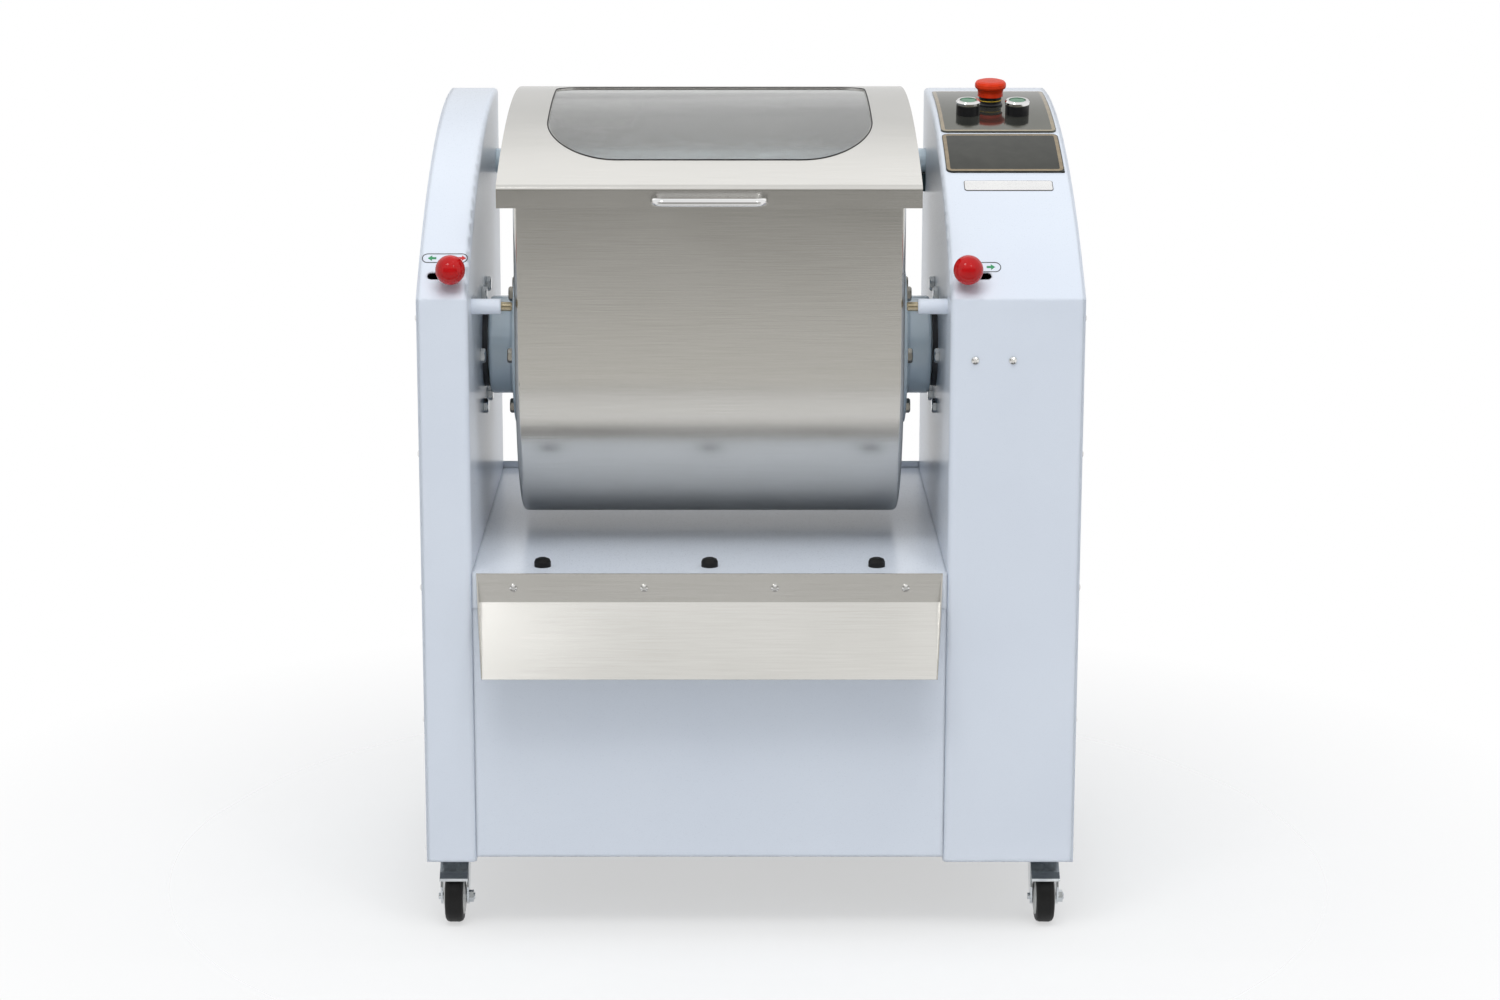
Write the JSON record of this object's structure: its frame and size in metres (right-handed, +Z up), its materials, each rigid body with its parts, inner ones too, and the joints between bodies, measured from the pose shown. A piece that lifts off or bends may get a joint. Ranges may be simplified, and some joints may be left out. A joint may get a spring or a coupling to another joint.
{
  "type": "dough mixer",
  "caption": "Floor-standing tilting dough mixer: stainless trough on trunnions between painted columns, hinged hood lid, discharge chute, control panel and swivel castors.",
  "frame": {"origin": "floor level under the middle of the bounding box", "axes": "+Z up, front of the machine towards -Y, +X to the right seen from the front"},
  "size_m": [0.7852, 0.65, 0.9895],
  "materials": {
    "white_paint": "gloss powder coat",
    "stainless": "fine brushed",
    "cast_hub": "blue-grey paint",
    "grey_paint": "satin paint",
    "black_rubber": "matte",
    "bright_chrome": "polished",
    "machined_steel": "machined",
    "dark_fascia": "gloss",
    "black_plastic": "moulded",
    "green_plastic": "moulded",
    "red_knob": "gloss",
    "orange_red_plastic": "satin",
    "clear_plastic": "clear",
    "zinc_plate": "zinc plated",
    "castor_tyre": "rubber"
  },
  "bodies": {
    "frame": {"left_column": "white_paint", "right_column": "white_paint", "left_side_cover": "white_paint", "right_side_cover": "white_paint", "front_panel": "white_paint", "rear_panel": "white_paint", "deck": "white_paint", "lock_sleeves": "white_paint", "discharge_chute": "stainless", "left_bearing_housing": "cast_hub", "right_bearing_housing": "cast_hub", "countershaft_bearing": "cast_hub", "rear_tie_bar": "grey_paint", "base_frame": "grey_paint", "motor": "grey_paint", "deck_bumpers": "black_rubber", "drive_belt": "black_rubber", "casing_screws": "bright_chrome", "button_bezels": "bright_chrome", "housing_bolts": "machined_steel", "drive_chain": "machined_steel", "upper_control_panel": "dark_fascia", "lower_control_panel": "dark_fascia", "button_housings": "black_plastic", "emergency_stop_collar": "black_plastic", "lid_switch": "black_plastic", "contactor_box": "black_plastic", "castor_plates": "zinc_plate"},
    "drum": {"drum_trough": "stainless", "left_drum_end": "stainless", "right_drum_end": "stainless", "left_trunnion": "cast_hub", "right_trunnion": "cast_hub", "trunnion_bolts": "machined_steel"},
    "lid": {"lid_hood": "stainless", "lid_window": "clear_plastic", "lid_handle": "bright_chrome", "lid_hinge_sleeves": "stainless"},
    "agitator": {"agitator_shaft": "stainless", "agitator_frame": "stainless", "agitator_sprocket": "machined_steel"},
    "countershaft_body": {"countershaft": "machined_steel", "countershaft_pulley": "machined_steel"},
    "motor_rotor": {"motor_pulley": "machined_steel"},
    "left_lock": {"left_lock_pin": "machined_steel", "left_lock_knob": "red_knob"},
    "right_lock": {"right_lock_pin": "machined_steel", "right_lock_knob": "red_knob"},
    "start_plunger": {"start_button": "green_plastic"},
    "stop_plunger": {"stop_button": "green_plastic"},
    "emergency_plunger": {"emergency_stop_head": "orange_red_plastic"},
    "front_left_fork": {"front_left_castor_fork": "zinc_plate"},
    "front_left_wheel": {"front_left_castor_wheel": "castor_tyre"},
    "front_right_fork": {"front_right_castor_fork": "zinc_plate"},
    "front_right_wheel": {"front_right_castor_wheel": "castor_tyre"},
    "rear_left_fork": {"rear_left_castor_fork": "zinc_plate"},
    "rear_left_wheel": {"rear_left_castor_wheel": "castor_tyre"},
    "rear_right_fork": {"rear_right_castor_fork": "zinc_plate"},
    "rear_right_wheel": {"rear_right_castor_wheel": "castor_tyre"}
  },
  "joints": [
    {"name": "drum_tilt", "type": "hinge", "parent": "frame", "child": "drum", "pos_m": [-0.0485, 0.01, 0.6745], "axis": [1, 0, 0], "range_deg": [0, 91.5]},
    {"name": "lid_open", "type": "hinge", "parent": "frame", "child": "lid", "pos_m": [-0.0485, 0.275, 0.872], "axis": [-1, 0, 0], "range_deg": [0, 85]},
    {"name": "agitator_spin", "type": "hinge", "parent": "frame", "child": "agitator", "pos_m": [-0.0485, 0.01, 0.6745], "axis": [1, 0, 0], "continuous": true},
    {"name": "countershaft_spin", "type": "hinge", "parent": "frame", "child": "countershaft_body", "pos_m": [0.308, 0.06, 0.396], "axis": [1, 0, 0], "continuous": true},
    {"name": "motor_spin", "type": "hinge", "parent": "frame", "child": "motor_rotor", "pos_m": [0.262, 0.06, 0.226], "axis": [1, 0, 0], "continuous": true},
    {"name": "left_lock_slide", "type": "slide", "parent": "frame", "child": "left_lock", "axis": [-1, 0, 0], "range_m": [0, 0.024]},
    {"name": "right_lock_slide", "type": "slide", "parent": "frame", "child": "right_lock", "axis": [1, 0, 0], "range_m": [0, 0.024]},
    {"name": "start_press", "type": "slide", "parent": "frame", "child": "start_plunger", "axis": [0, 0.1734, -0.9849], "range_m": [0, 0.004], "stiffness_N_per_m": 400},
    {"name": "stop_press", "type": "slide", "parent": "frame", "child": "stop_plunger", "axis": [0, 0.1734, -0.9849], "range_m": [0, 0.004], "stiffness_N_per_m": 400},
    {"name": "emergency_press", "type": "slide", "parent": "frame", "child": "emergency_plunger", "axis": [0, 0.1277, -0.9918], "range_m": [0, 0.004], "stiffness_N_per_m": 500},
    {"name": "front_left_swivel", "type": "hinge", "parent": "frame", "child": "front_left_fork", "pos_m": [-0.36, -0.204, 0.084], "axis": [0, 0, 1], "continuous": true},
    {"name": "front_left_roll", "type": "hinge", "parent": "front_left_fork", "child": "front_left_wheel", "pos_m": [-0.36, -0.226, 0.0315], "axis": [1, 0, 0], "continuous": true},
    {"name": "front_right_swivel", "type": "hinge", "parent": "frame", "child": "front_right_fork", "pos_m": [0.36, -0.204, 0.084], "axis": [0, 0, 1], "continuous": true},
    {"name": "front_right_roll", "type": "hinge", "parent": "front_right_fork", "child": "front_right_wheel", "pos_m": [0.36, -0.226, 0.0315], "axis": [1, 0, 0], "continuous": true},
    {"name": "rear_left_swivel", "type": "hinge", "parent": "frame", "child": "rear_left_fork", "pos_m": [-0.36, 0.259, 0.084], "axis": [0, 0, 1], "continuous": true},
    {"name": "rear_left_roll", "type": "hinge", "parent": "rear_left_fork", "child": "rear_left_wheel", "pos_m": [-0.36, 0.237, 0.0315], "axis": [1, 0, 0], "continuous": true},
    {"name": "rear_right_swivel", "type": "hinge", "parent": "frame", "child": "rear_right_fork", "pos_m": [0.36, 0.259, 0.084], "axis": [0, 0, 1], "continuous": true},
    {"name": "rear_right_roll", "type": "hinge", "parent": "rear_right_fork", "child": "rear_right_wheel", "pos_m": [0.36, 0.237, 0.0315], "axis": [1, 0, 0], "continuous": true}
  ],
  "couplings": [
    {"joint": "countershaft_spin", "follows": "agitator_spin", "ratio": 3.5833},
    {"joint": "motor_spin", "follows": "agitator_spin", "ratio": 9.4298}
  ]
}
